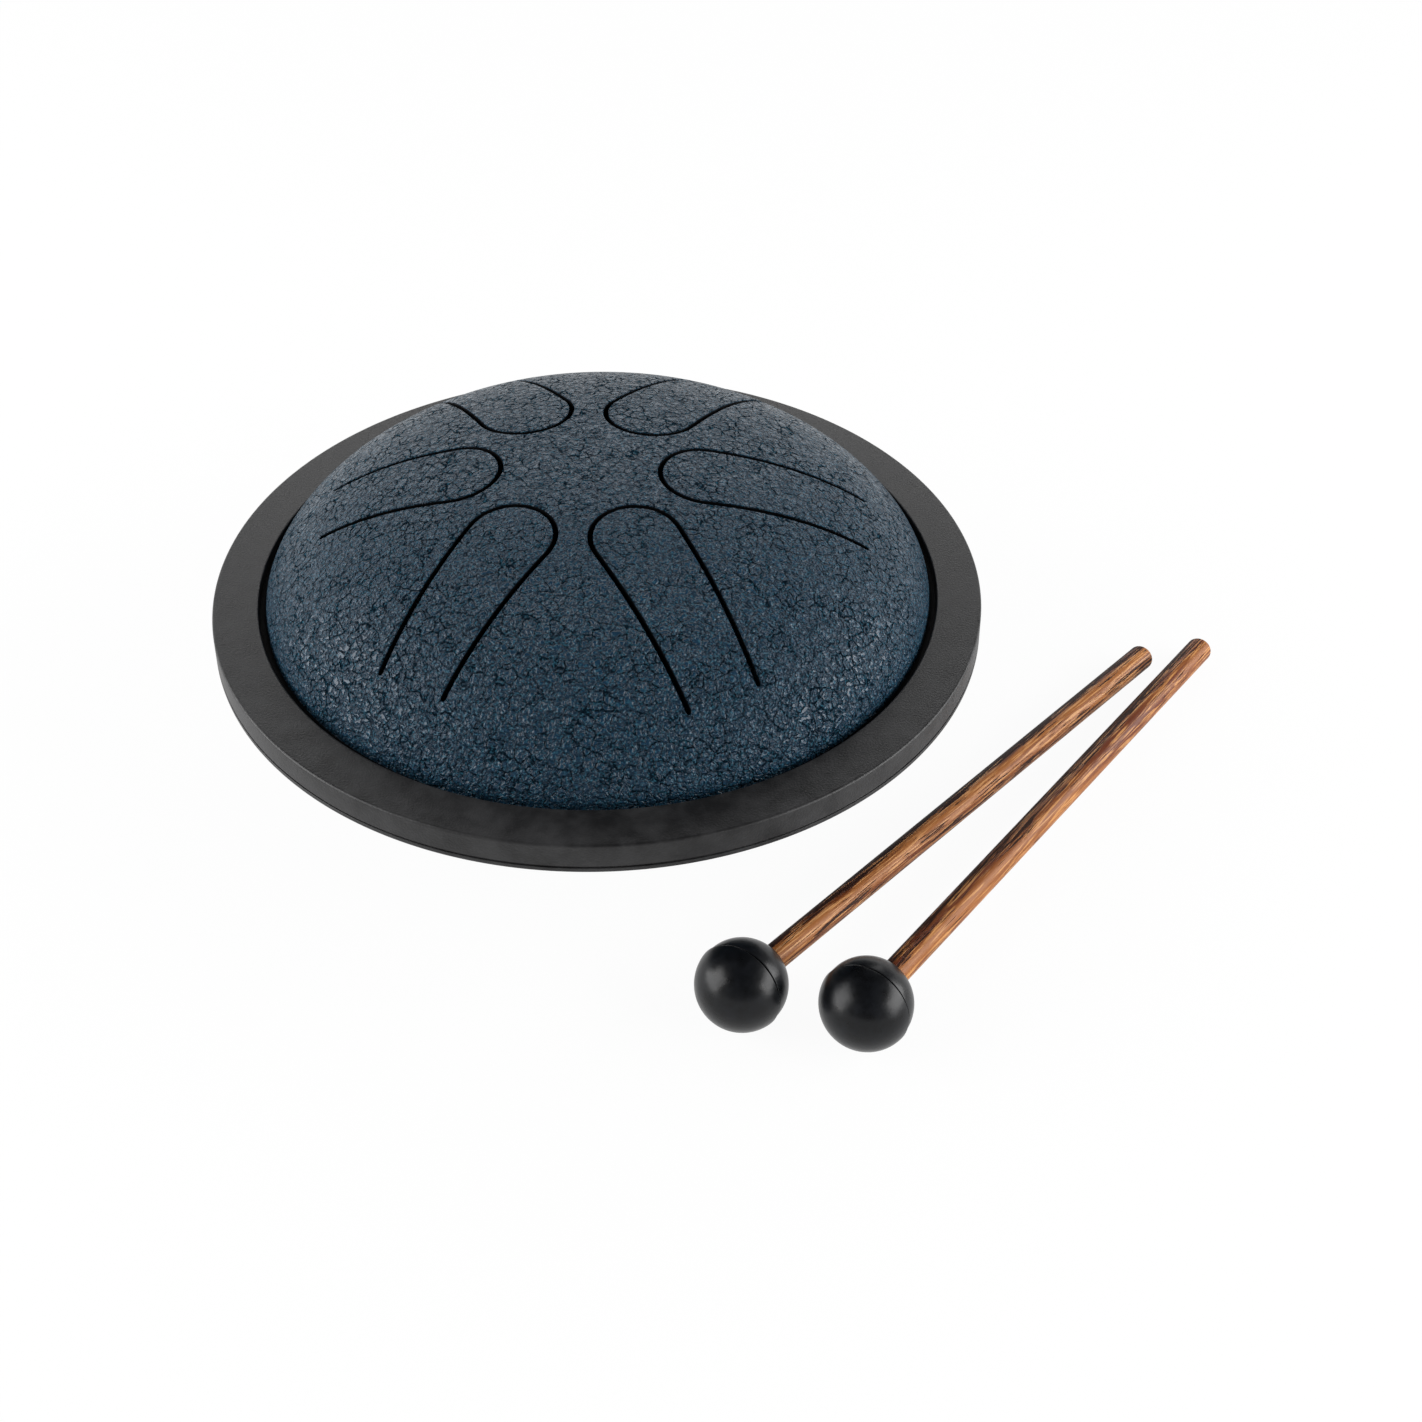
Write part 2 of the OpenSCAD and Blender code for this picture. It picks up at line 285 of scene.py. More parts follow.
# %% [markdown]
# The sticks are turned from an open-grained striped hardwood and oiled. Its grain runs along the stick, so
# the pattern is noise stretched along X: golden wood with brown bands a few millimetres wide, fine pale
# hairs, and dark open pores half a millimetre wide and about 13 mm long. A slow drift makes the fibres wave.
# The pattern is laid along the stick's own axes, so it takes the place of the mallet that the stick is on.
# Along each stick runs one lightest line, here given as its distance from the stick's middle, and the bands
# and pores grow denser away from that line. That is painted shade: it darkens the stick's sides, as light
# falls on a round stick, and leaves a painted lit stripe near its middle.

# %% Turned hardwood
GRAIN_STRETCH, PORE_MM, HAIR_MM, DRIFT_MM, DRIFT_REACH_MM = 0.042, 0.55, 0.45, 2.2, 1.3
PAINTED_LIGHT_HALF_MM, PORE_EDGE, PORE_DEEP_MM = 1.6, 0.05, 0.05


def turned_hardwood(
    name, lying, pale, light, middle, dark, band_mm, painted_light_line_mm, painted_shade_per_mm, pores_from, seed
):
    material, tree = start_material(name)
    place = add(tree, "TexCoord", out="Object")
    place = add(tree, "Mapping", {
        "Vector": place, "Location": lying.to_translation(), "Rotation": lying.to_euler(),
    }, vector_type="TEXTURE")
    along = add(tree, "Mapping", {
        "Vector": place, "Location": (seed, seed * 0.7, 0), "Scale": (GRAIN_STRETCH, 1, 1),
    })
    drift = add(tree, "TexNoise", {"Vector": along, "Scale": per_mm(DRIFT_MM), "Detail": 1.0}, out="Color")
    drift = add(tree, "VectorMath", {0: drift, 1: (0.5, 0.5, 0.5)}, operation="SUBTRACT")
    drift = add(tree, "VectorMath", {0: drift, "Scale": DRIFT_REACH_MM * MM}, operation="SCALE")
    fibres = add(tree, "VectorMath", {0: along, 1: drift}, operation="ADD")

    # Painted shade: the bands and pores darken with distance from a painted lit line along the stick.
    sideways = add(tree, "SeparateXYZ", {"Vector": place}, out="Y")
    off_painted_light = add(tree, "Math", {0: sideways, 1: painted_light_line_mm * MM}, operation="SUBTRACT")
    off_painted_light = add(tree, "Math", {0: off_painted_light}, operation="ABSOLUTE")
    off_painted_light = add(tree, "Math", {0: off_painted_light, 1: PAINTED_LIGHT_HALF_MM * MM}, operation="SUBTRACT")
    grain_bands_and_shade = add(tree, "TexNoise", {"Vector": fibres, "Scale": per_mm(band_mm), "Detail": 2.0})
    grain_bands_and_shade = add(tree, "Math", {0: off_painted_light, 1: painted_shade_per_mm / MM, 2: grain_bands_and_shade}, operation="MULTIPLY_ADD")
    grain_bands_and_shade = add(tree, "MapRange", {"Value": grain_bands_and_shade, "From Min": 0.46, "From Max": 0.62})
    wood = add(tree, "MixRGB", {"Fac": grain_bands_and_shade, "Color1": linear(light), "Color2": linear(middle)})
    hairs = add(tree, "TexNoise", {"Vector": fibres, "Scale": per_mm(HAIR_MM), "Detail": 2.0})
    hairs = add(tree, "MapRange", {"Value": hairs, "From Min": 0.52, "From Max": 0.64, "To Max": 0.8})
    wood = add(tree, "MixRGB", {"Fac": hairs, "Color1": wood, "Color2": linear(pale)})
    pores_and_shade = add(tree, "TexNoise", {
        "Vector": fibres, "Scale": per_mm(PORE_MM), "Detail": 3.0, "Roughness": 0.6,
    })
    pores_and_shade = add(tree, "Math", {0: off_painted_light, 1: painted_shade_per_mm / MM, 2: pores_and_shade}, operation="MULTIPLY_ADD")
    pores_and_shade = add(tree, "MapRange", {
        "Value": pores_and_shade, "From Min": pores_from, "From Max": pores_from + PORE_EDGE,
    })
    wood = add(tree, "MixRGB", {"Fac": pores_and_shade, "Color1": wood, "Color2": linear(dark)})
    groove = add(tree, "Bump", {"Height": pores_and_shade, "Distance": PORE_DEEP_MM * MM, "Strength": 1.0}, invert=True)
    oil = add(tree, "MapRange", {"Value": pores_and_shade, "To Min": 0.42, "To Max": 0.65})
    surface = add(tree, "BsdfPrincipled", {
        "Base Color": wood, "Roughness": oil, "IOR": 1.5, "Specular IOR Level": 0.2, "Normal": groove,
    })
    add(tree, "OutputMaterial", {"Surface": surface})
    return material


# In each wood, the lit line and the darkening per millimetre away from it are painted shade across the stick.
LEFT_WOOD = {
    "pale": "#cc9662", "light": "#945c2f", "middle": "#663417", "dark": "#2e1409",
    "band_mm": 1.6, "painted_light_line_mm": -1.4, "painted_shade_per_mm": 0.08, "pores_from": 0.505, "seed": 0.31,
}
RIGHT_WOOD = {
    "pale": "#c38b52", "light": "#8d5527", "middle": "#5f2b12", "dark": "#2e1408",
    "band_mm": 3.2, "painted_light_line_mm": -2.2, "painted_shade_per_mm": 0.05, "pores_from": 0.55, "seed": 0.74,
}
print("wood bands", LEFT_WOOD["band_mm"], "and", RIGHT_WOOD["band_mm"], "mm, pores", PORE_MM, "mm")

# %% [markdown]
# Round pieces are turned from a half section. Every real edge is a little round, and that roundness is
# what catches the light, so one function rounds the corners of a section. It also leaves a point close to
# each end of a rounding, which keeps the flat faces beside it flat when the mesh is shaded smoothly.

# %% Section and turning helpers
def rounded(corners, hold=0.06, steps=5):
    """A closed section from (x, y, rounding radius) corners."""
    points = []
    for i, (x, y, radius) in enumerate(corners):
        here = np.array((x, y), float)
        if radius == 0:
            points.append(here)
            continue
        before = np.array(corners[i - 1][:2], float) - here
        after = np.array(corners[(i + 1) % len(corners)][:2], float) - here
        room = min(np.linalg.norm(before), np.linalg.norm(after)) / 2
        before, after = before / np.linalg.norm(before), after / np.linalg.norm(after)
        half = math.acos(np.clip(before @ after, -1, 1)) / 2
        reach = radius / math.tan(half)
        middle = here + (before + after) / np.linalg.norm(before + after) * radius / math.sin(half)
        first, last = here + before * reach, here + after * reach
        a = math.atan2(*(first - middle)[::-1])
        swing = (math.atan2(*(last - middle)[::-1]) - a + math.pi) % (2 * math.pi) - math.pi
        if reach + hold < room:
            points.append(first + before * hold)
        for k in range(steps + 1):
            t = a + swing * k / steps
            points.append(middle + radius * np.array((math.cos(t), math.sin(t))))
        if reach + hold < room:
            points.append(last + after * hold)
    return points


def turn(section, segments, closed=True):
    """Vertices and faces of a half section, as (radius, height) points, turned round Z."""
    angles = np.arange(segments) * 2 * math.pi / segments
    verts, rings, faces = [], [], []
    for radius, height in section:
        if radius < 1e-6:
            rings.append([len(verts)] * segments)
            verts.append((0, 0, height))
            continue
        rings.append(list(range(len(verts), len(verts) + segments)))
        verts += [(radius * math.cos(t), radius * math.sin(t), height) for t in angles]
    for a, b in zip(rings, rings[1:] + rings[:1] if closed else rings[1:]):
        for i in range(segments):
            j = (i + 1) % segments
            face = list(dict.fromkeys((a[i], a[j], b[j], b[i])))
            if len(face) > 2:
                faces.append(face)
    return verts, faces


def make_piece(name, verts, faces, material, node, body, slot_name, place=Matrix.Identity(4)):
    """Makes a smooth mesh from millimetres, puts it in its place on its body, hides its solid, and prints how
    far its box lies from the solid's.
    """
    mesh = bpy.data.meshes.new(name)
    mesh.from_pydata([place @ (Vector(v) * MM) for v in verts], [], faces)
    made = bmesh.new()
    made.from_mesh(mesh)
    bmesh.ops.recalc_face_normals(made, faces=made.faces)
    loose = sum(len(edge.link_faces) != 2 for edge in made.edges)
    made.to_mesh(mesh)
    made.free()
    mesh.shade_smooth()
    mesh.materials.append(material)
    piece = bpy.data.objects.new(name, mesh)
    bpy.context.scene.collection.objects.link(piece)
    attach(piece, body)
    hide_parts(node)
    corners = np.array([v.co for v in mesh.vertices])
    low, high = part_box(node)
    off = max(np.abs(corners.min(0) - np.array(low)).max(), np.abs(corners.max(0) - np.array(high)).max())
    print(f"{name}: {len(mesh.polygons)} faces, {loose} open edges, box off by {off / MM:.3f} mm")
    return piece


# %% [markdown]
# The dome's half section is a power curve: flat over the crown and steep at the shoulder, where it runs
# into a short upright wall. The same curve, one steel thickness smaller, is the inside.

# %% The pressed shell's curve
BEND_STEPS, EDGE_STEPS = 10, 4


def dome_height(radius, skin=0.0):
    """Height of the dome above the joint plane, at a radius; skin is how far it lies outside the steel."""
    share = np.clip(np.asarray(radius, float) / (WALL_R + skin), 0, 1)
    return WALL_H + (DOME_RISE + skin) * (1 - share ** CROWN_POWER) ** SHOULDER_POWER


def dome_points(inner_r, steps, skin=0.0):
    """Points of the curve from a radius out to the wall."""
    start = math.asin(inner_r / (WALL_R + skin))
    radii = [(WALL_R + skin) * math.sin(start + (math.pi / 2 - start) * i / steps) for i in range(steps + 1)]
    return [(r, float(dome_height(r, skin))) for r in radii]


def arc(x, y, radius, first, last, steps):
    """Points of an arc, with its angles in degrees."""
    turns = (math.radians(first + (last - first) * i / steps) for i in range(steps + 1))
    return [(x + radius * math.cos(t), y + radius * math.sin(t)) for t in turns]


def shell_edge(inner_r, outer_steps, inner_steps):
    """Half section of the shell outside a radius: shoulder, wall, bend, flange and back along the inside."""
    bend = (WALL_R + BEND_R, STEEL_T + BEND_R)
    edge_r = FLANGE_R - FLANGE_EDGE_R
    return (
        dome_points(inner_r, outer_steps)
        + arc(*bend, BEND_R, 180, 270, BEND_STEPS)
        + arc(edge_r, STEEL_T - FLANGE_EDGE_R, FLANGE_EDGE_R, 90, 0, EDGE_STEPS)
        + arc(edge_r, FLANGE_EDGE_R, FLANGE_EDGE_R, 0, -90, EDGE_STEPS)
        + arc(*bend, BEND_R + STEEL_T, 270, 180, BEND_STEPS)
        + dome_points(inner_r, inner_steps, -STEEL_T)[::-1]
    )


print(f"the crown stands {float(dome_height(0)):.1f} mm above the joint plane")

# %% [markdown]
# The slit round each tongue is cut with a laser: two straight legs and a round end. The outline below is
# drawn in the tongue's own axes, at any distance from the cut, so that the rounded painted edge, the
# points beside it and the cut wall all come from the one shape, each with the same number of points.

# %% The outline of a slit
TONGUES, FIRST_TONGUE = 6, -124.8
TIP_GAP, TIP_ROUND_R, ROOT_HALF_W, ROOT_GAP, SLIT_W = 19.0, 10.9, 9.5, 10.8, 1.2
ROOT_REACH = WALL_R - ROOT_GAP
TIP_SHARES = (0.92, 0.912, 0.94, 0.99, 1, 0.95)
WIDTH_SHARES = (0.86, 0.865, 0.955, 1, 0.99, 0.95)
REACH_SHARES = (0.945, 0.985, 0.965, 1, 0.995, 0.87)
PATTERN_CENTRE = np.array((-3.7, -2.5))
LEG_STEPS, ROUND_STEPS, CAP_STEPS = 44, 30, 8


def slit_outline(tongue, away):
    """Closed plan outline of one slit, 'away' millimetres outside its cut edge."""
    half, round_r = SLIT_W / 2 + away, TIP_ROUND_R * TIP_SHARES[tongue]
    tip_x = TIP_GAP * TIP_SHARES[tongue] + round_r
    reach, root_w = ROOT_REACH * REACH_SHARES[tongue], ROOT_HALF_W * WIDTH_SHARES[tongue]
    leg = np.array((reach - tip_x, root_w))
    turn_at = math.degrees(math.atan2(leg[1], leg[0]) + math.acos(round_r / np.linalg.norm(leg)))
    runs = [
        arc(reach, root_w, half, turn_at - 180, turn_at, CAP_STEPS),
        arc(tip_x, 0, round_r + half, turn_at, 360 - turn_at, ROUND_STEPS),
        arc(reach, -root_w, half, -turn_at, 180 - turn_at, CAP_STEPS),
        arc(tip_x, 0, round_r - half, 360 - turn_at, turn_at, ROUND_STEPS),
    ]
    points = []
    for i, run in enumerate(runs):
        points += run
        end, start = np.array(run[-1]), np.array(runs[(i + 1) % len(runs)][0])
        points += [tuple(end + (start - end) * k / LEG_STEPS) for k in range(1, LEG_STEPS)]
    heading = math.radians(FIRST_TONGUE + tongue * 360 / TONGUES)
    spin = np.array(((math.cos(heading), math.sin(heading)), (-math.sin(heading), math.cos(heading))))
    return np.array(points) @ spin + PATTERN_CENTRE


def inside(points, outline):
    """Which plan points lie inside a closed outline."""
    hits = np.zeros(len(points), bool)
    for (x0, y0), (x1, y1) in zip(outline, np.roll(outline, -1, axis=0)):
        if y0 == y1:
            continue
        crosses = (points[:, 1] < y0) != (points[:, 1] < y1)
        hits ^= crosses & (points[:, 0] < x0 + (points[:, 1] - y0) * (x1 - x0) / (y1 - y0))
    return hits


# %% [markdown]
# The cut dome is one continuous skin. Points are spread in rings over its plan and close beside the slits,
# a constrained Delaunay triangulation joins them without crossing a cut, and the triangles inside the cuts
# are dropped. Each point is then lifted onto the dome's curve. The inside skin uses the same triangles.
# The edge of every cut is rolled over by the thickness of the coat, and the flange is turned on outside.
# The walls of the cuts and the flange from the wall's foot on are listed, and their faces take the second,
# near-black material: partly oxide and partly painted shade on the cut walls, painted shade on the flange.

# %% The upper shell
PLAN_R, PLAN_SEGMENTS, PLAN_STEP = 74.6, 312, 1.6
EDGE_ROLL, ROLL_STEPS = 0.22, 4
NEAR_LOOP, FAR_LOOP, CLEAR_OF_SLIT = 0.12, 1.0, 1.7
OUTER_STEPS, INNER_STEPS = 16, 12


def spread_points():
    """Plan points in rings, clear of the slits and of the outer ring."""
    points = [(0.0, 0.0)]
    rings = int(PLAN_R / PLAN_STEP)
    for ring in range(1, rings):
        radius = PLAN_R * ring / rings
        count = int(2 * math.pi * radius / PLAN_STEP)
        angles = (np.arange(count) + 0.5 * (ring % 2)) * 2 * math.pi / count
        points += list(zip(radius * np.cos(angles), radius * np.sin(angles)))
    points = np.array(points)
    for tongue in range(TONGUES):
        points = points[~inside(points, slit_outline(tongue, CLEAR_OF_SLIT))]
    return points


def dome_normals(plan):
    """Unit normals of the outer dome at plan points, from its slope over a very short way."""
    way = 1e-4
    radius = np.maximum(np.linalg.norm(plan, axis=1), way / 100)
    slope = (dome_height(radius + way) - dome_height(radius - way)) / (2 * way)
    normals = np.c_[-slope[:, None] * plan / radius[:, None], np.ones(len(plan))]
    return normals / np.linalg.norm(normals, axis=1)[:, None]


def lift(plan, skin=0.0, sink=0.0):
    """Plan points on the dome: on its outside, or inside the steel, sunk along the normal."""
    plan = np.asarray(plan)
    height = JOINT_Z + dome_height(np.linalg.norm(plan, axis=1), skin)
    return np.c_[plan, height] - sink * dome_normals(plan)


plan_angles = np.arange(PLAN_SEGMENTS) * 2 * math.pi / PLAN_SEGMENTS
plan = [PLAN_R * np.c_[np.cos(plan_angles), np.sin(plan_angles)]]
cuts = [slit_outline(tongue, EDGE_ROLL) for tongue in range(TONGUES)]
plan += cuts + [spread_points()]
for tongue in range(TONGUES):
    plan += [slit_outline(tongue, EDGE_ROLL + NEAR_LOOP), slit_outline(tongue, FAR_LOOP)]
starts = np.cumsum([0] + [len(group) for group in plan])
closed_loops = [(starts[i], len(plan[i])) for i in range(1 + TONGUES)]
fixed_edges = [(s + k, s + (k + 1) % n) for s, n in closed_loops for k in range(n)]
points, _, triangles, sources, _, _ = delaunay_2d_cdt(
    [Vector(p) for p in np.concatenate(plan)], [(int(a), int(b)) for a, b in fixed_edges], [], 0, 1e-5
)
made_from = {source: index for index, group in enumerate(sources) for source in group}
points = np.array(points)
triangles = np.array([t for t in triangles if len(t) == 3])
middles = points[triangles].mean(axis=1)
for tongue in range(TONGUES):
    keep = ~inside(middles, cuts[tongue])
    triangles, middles = triangles[keep], middles[keep]
print(len(points), "plan points,", len(triangles), "triangles")


def ring_of(loop):
    """Indices of a closed loop's points in the triangulation."""
    start, count = closed_loops[loop]
    return [made_from[int(start) + k] for k in range(count)]


def strip(a, b):
    """Faces between two closed loops with the same number of points."""
    return [(a[k], a[(k + 1) % len(a)], b[(k + 1) % len(a)], b[k]) for k in range(len(a))]


verts = [*lift(points), *lift(points, -STEEL_T)]
faces = [tuple(t) for t in triangles] + [tuple(t + len(points)) for t in triangles]
dark_oxide_and_shade = []


def add_loop(loop):
    """Adds a closed loop of points to the upper shell and gives their indices."""
    verts.extend(loop)
    return list(range(len(verts) - len(loop), len(verts)))


for tongue in range(TONGUES):
    above = ring_of(1 + tongue)
    below = [k + len(points) for k in above]
    for step in range(1, ROLL_STEPS + 1):
        bend = math.pi / 2 * step / ROLL_STEPS
        away, sink = EDGE_ROLL * (1 - math.sin(bend)), EDGE_ROLL * (1 - math.cos(bend))
        rolled = add_loop(lift(slit_outline(tongue, away), 0, sink))
        faces += strip(above, rolled)
        above = rolled
    cut_foot = add_loop(lift(slit_outline(tongue, 0), -STEEL_T))
    # The cut wall takes the near-black finish: partly oxide, partly painted shade.
    dark_oxide_and_shade += range(len(faces), len(faces) + len(cut_foot))
    faces += strip(above, cut_foot) + strip(cut_foot, below)

above, last = ring_of(0), [k + len(points) for k in ring_of(0)]
for radius, height in shell_edge(PLAN_R, OUTER_STEPS, INNER_STEPS)[1:-1]:
    turned = add_loop([(radius * math.cos(t), radius * math.sin(t), JOINT_Z + height) for t in plan_angles])
    # From the wall's foot outward the flange takes the near-black finish as painted shade.
    if radius > WALL_R + STEEL_T / 4:
        dark_oxide_and_shade += range(len(faces), len(faces) + PLAN_SEGMENTS)
    faces += strip(above, turned)
    above = turned
faces += strip(above, last)
top_shell = make_piece(
    "top_shell_skin", verts, faces, navy_coat, "top_shell", "drum", "wrinkle_coated_steel"
)
# The listed faces take the near-black finish: painted shade on the flange, partly oxide and partly painted
# shade on the cut walls.
top_shell.data.materials.append(oxide_and_shade_film)
for face in dark_oxide_and_shade:
    top_shell.data.polygons[face].material_index = 1
print(len(dark_oxide_and_shade), "faces of the upper shell are bare oxide")

# %% [markdown]
# The lower shell is the same pressing turned over, with a round sound hole instead of tongues. It is
# turned in one go, and the hole's rim is rolled over by the coat.

# %% The lower shell
HOLE_ROLL, HOLE_ROLL_MIDDLE, BOTTOM_SEGMENTS = 0.3, 0.09, 288
hole_top = float(dome_height(SOUND_HOLE_R))
hole_edge = [
    (SOUND_HOLE_R, hole_top - HOLE_ROLL),
    (SOUND_HOLE_R + HOLE_ROLL_MIDDLE, hole_top - HOLE_ROLL_MIDDLE),
    (SOUND_HOLE_R + HOLE_ROLL, float(dome_height(SOUND_HOLE_R + HOLE_ROLL))),
]
hole_inside = [(SOUND_HOLE_R, float(dome_height(SOUND_HOLE_R, -STEEL_T)))]
shell = shell_edge(SOUND_HOLE_R + 3 * HOLE_ROLL, outer_steps=60, inner_steps=40)
section = hole_edge + shell + hole_inside
bottom = turn([(r, JOINT_Z - h) for r, h in section], BOTTOM_SEGMENTS)
make_piece("bottom_shell_skin", *bottom, navy_coat, "bottom_shell", "drum", "wrinkle_coated_steel")

# %% [markdown]
# The rim is one moulding: a flat top and underside, soft edges, a slot that grips both flanges, and a
# fine groove low on its wall where the two halves of the mould met.

# %% The rim
HALF_H, EDGE_R, LIP_EDGE_R, SLOT_EDGE_R, RIM_SEGMENTS = RING_H / 2, 0.6, 0.4, 0.15, 320
GROOVE_UP, GROOVE_W, GROOVE_D, GROOVE_EDGE_R, GROOVE_FLOOR_R = 1.3, 0.5, 0.4, 0.12, 0.1
GROOVE_LOW = GROOVE_UP - HALF_H
GROOVE_HIGH = GROOVE_LOW + GROOVE_W


def rim_wall(height, depth=0.0):
    """Radius of the rim's wall, which leans out a little towards its underside, or of a groove cut in it."""
    return RING_R + RING_FLARE * (HALF_H - height) / RING_H - depth


rim_corners = [
    (RING_LIP_R, HALF_H, LIP_EDGE_R), (rim_wall(HALF_H), HALF_H, EDGE_R),
    (rim_wall(GROOVE_HIGH), GROOVE_HIGH, GROOVE_EDGE_R),
    (rim_wall(GROOVE_HIGH, GROOVE_D), GROOVE_HIGH, GROOVE_FLOOR_R),
    (rim_wall(GROOVE_LOW, GROOVE_D), GROOVE_LOW, GROOVE_FLOOR_R),
    (rim_wall(GROOVE_LOW), GROOVE_LOW, GROOVE_EDGE_R),
    (rim_wall(-HALF_H), -HALF_H, EDGE_R), (RING_LIP_R, -HALF_H, LIP_EDGE_R),
    (RING_LIP_R, -STEEL_T, SLOT_EDGE_R), (SLOT_R, -STEEL_T, SLOT_EDGE_R),
    (SLOT_R, STEEL_T, SLOT_EDGE_R), (RING_LIP_R, STEEL_T, SLOT_EDGE_R),
]
rim = turn([(r, z + JOINT_Z) for r, z in rounded(rim_corners)], RIM_SEGMENTS)
make_piece("rim_ring_moulding", *rim, rim_rubber, "rim_ring", "drum", "rim_rubber")

# %% [markdown]
# Each foot is a drafted rubber stud, dished a little in the middle of its sole so that it grips. Its top
# follows the dome that it is glued to. The side and the dome's curve depend on each other, so the height
# where they meet is found for each direction by going back and forth until it stands still.

# %% The feet
FOOT_CIRCLE_R, FOOT_R, FOOT_EDGE_R, FOOT_DRAFT = 42.0, 7.0, 1.0, math.tan(math.radians(6))
SOLE_DISH = [(4.2, 0.3), (4.5, 0.08), (4.8, 0.0), (5.4, 0.0)]
SIDE_SHARES, TOP_SHARES, FOOT_SEGMENTS, TRIES = (0.1, 0.4, 0.7, 0.96, 1.0), (0.96, 0.7, 0.35), 72, 30


def under_dome(x, y):
    """Height of the underside that a foot is glued to, a film of glue below the steel."""
    return JOINT_Z - dome_height(np.hypot(x, y), GLUE)


def foot(direction):
    """Vertices and faces of one foot, standing in a direction from the drum's axis."""
    centre = FOOT_CIRCLE_R * np.array((math.cos(direction), math.sin(direction)))
    angles = np.arange(FOOT_SEGMENTS) * 2 * math.pi / FOOT_SEGMENTS
    spokes = [np.array((math.cos(t), math.sin(t))) for t in angles]
    sole = SOLE_DISH + arc(FOOT_R - FOOT_EDGE_R, FOOT_EDGE_R, FOOT_EDGE_R, -90, 0, 8)
    rings = [[(*(centre + r * spoke), z) for spoke in spokes] for r, z in sole]
    tops = []
    for spoke in spokes:
        height = GROUND_GAP
        for _ in range(TRIES):
            height = float(under_dome(*(centre + (FOOT_R + FOOT_DRAFT * height) * spoke)))
        tops.append(height)
    for share in SIDE_SHARES:
        side = [FOOT_EDGE_R + (top - FOOT_EDGE_R) * share for top in tops]
        rings.append([(*(centre + (FOOT_R + FOOT_DRAFT * h) * spoke), h) for spoke, h in zip(spokes, side)])
    for share in TOP_SHARES:
        flat = [centre + (FOOT_R + FOOT_DRAFT * top) * share * spoke for spoke, top in zip(spokes, tops)]
        rings.append([(x, y, float(under_dome(x, y))) for x, y in flat])
    verts = [p for ring in rings for p in ring]
    loops = [list(range(i * FOOT_SEGMENTS, (i + 1) * FOOT_SEGMENTS)) for i in range(len(rings))]
    faces = [f for a, b in zip(loops, loops[1:]) for f in strip(a, b)]
    return verts, faces + [tuple(loops[0]), tuple(loops[-1])]


for node, degrees in (("foot_front", -90), ("foot_back_left", 150), ("foot_back_right", 30)):
    make_piece(node + "_stud", *foot(math.radians(degrees)), foot_rubber, node, "drum", "foot_rubber")

# %% [markdown]
# A mallet is made along X, with its ball's centre at the origin, and is then laid down: it leans until
# both the ball and the tail's rounded edge touch the table. The ball is moulded in two halves. The striking
# half stands a little proud of the stick's half, and beside that step runs the fine groove that the
# photograph shows. The seam's plane leans by some degrees, because the mould was split that way. The two
# halves are turned round the seam's axis, and the skin near the stick is eased round to the stick's axis.

# %% The mallets
BALL_R, SEAM_STEP, SEAM_BACK, SOCKET_DEEP = 10.1, 0.3, 1.2, 5.0
SEAM_TILT, SEAM_TURN, SEAM_GROOVE_W, SEAM_GROOVE_D = 11, -43, 0.5, 0.5
HEAD_R, TAIL_R, REACH, TAIL_ROUND, FOOT_CHAMFER, SHAFT_STEPS = 3.0, 3.25, 160.0, 1.5, 0.3, 24
REST_R = BALL_R - SEAM_STEP
core_x, core_r = REACH - TAIL_ROUND, TAIL_R - TAIL_ROUND
lean = math.asin((REST_R - TAIL_ROUND) / math.hypot(core_x, core_r)) - math.atan2(core_r, core_x)
ALONG_X = Matrix.Rotation(math.pi / 2, 3, "Y")
SEAM_LEAN = Euler((math.radians(SEAM_TURN), 0, 0)).to_matrix()
SEAM_LEAN = SEAM_LEAN @ Euler((0, 0, math.radians(SEAM_TILT))).to_matrix()


def lay_down(x, y, heading):
    """The place of a mallet whose ball's centre is above (x, y), with its stick pointing at a heading."""
    turned = Euler((0, lean, math.radians(heading)), "XYZ").to_matrix().to_4x4()
    return Matrix.Translation(Vector((x, y, REST_R)) * MM) @ turned


def along_x(made):
    """A turned form, with its axis brought from Z to X."""
    verts, faces = made
    return [ALONG_X @ Vector(v) for v in verts], faces


MOUTH_ROLL, FINE_EDGE, LIP_DEGREES = 0.25, 0.03, 0.9
BALL_STEPS, BALL_SEGMENTS, STICK_SEGMENTS = 48, 128, 64
MOUTH_ANGLE = math.degrees(math.acos((HEAD_R + GLUE + MOUTH_ROLL) / REST_R))
EASE_FROM = 50


